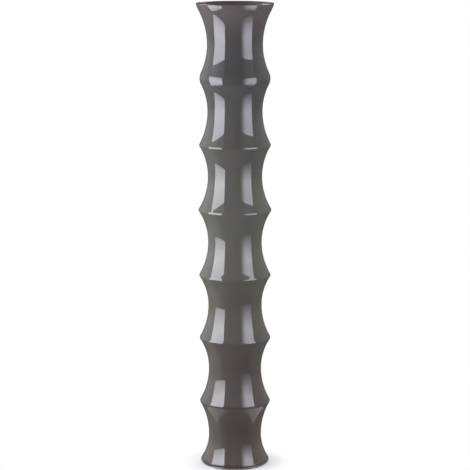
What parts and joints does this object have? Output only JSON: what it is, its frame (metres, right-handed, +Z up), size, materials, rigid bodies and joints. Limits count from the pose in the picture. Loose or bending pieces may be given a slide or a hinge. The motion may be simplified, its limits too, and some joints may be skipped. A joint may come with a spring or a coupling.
{
  "type": "floor vase",
  "caption": "Tall slim glass vase like a bamboo stalk: waisted segments between rounded rings, a flared mouth and a flat foot; grey glass cased in clear glass, dark inside. Holds cut stems.",
  "frame": {"origin": "middle of the foot, on the floor that the vase stands on", "axes": "+Z up along the vase's axis, from the foot to the mouth; the vase is round, so +X and +Y are free"},
  "size_m": [0.133, 0.133, 0.7999],
  "materials": {
    "clear_glass": "fire-polished, clear, high gloss",
    "grey_glass": "opaque warm grey, seen through the clear casing",
    "dark_glass": "opaque dark plum brown, high gloss"
  },
  "bodies": {
    "root": {"clear_casing": "clear_glass", "grey_colour_layer": "grey_glass", "dark_lining": "dark_glass"}
  },
  "joints": []
}
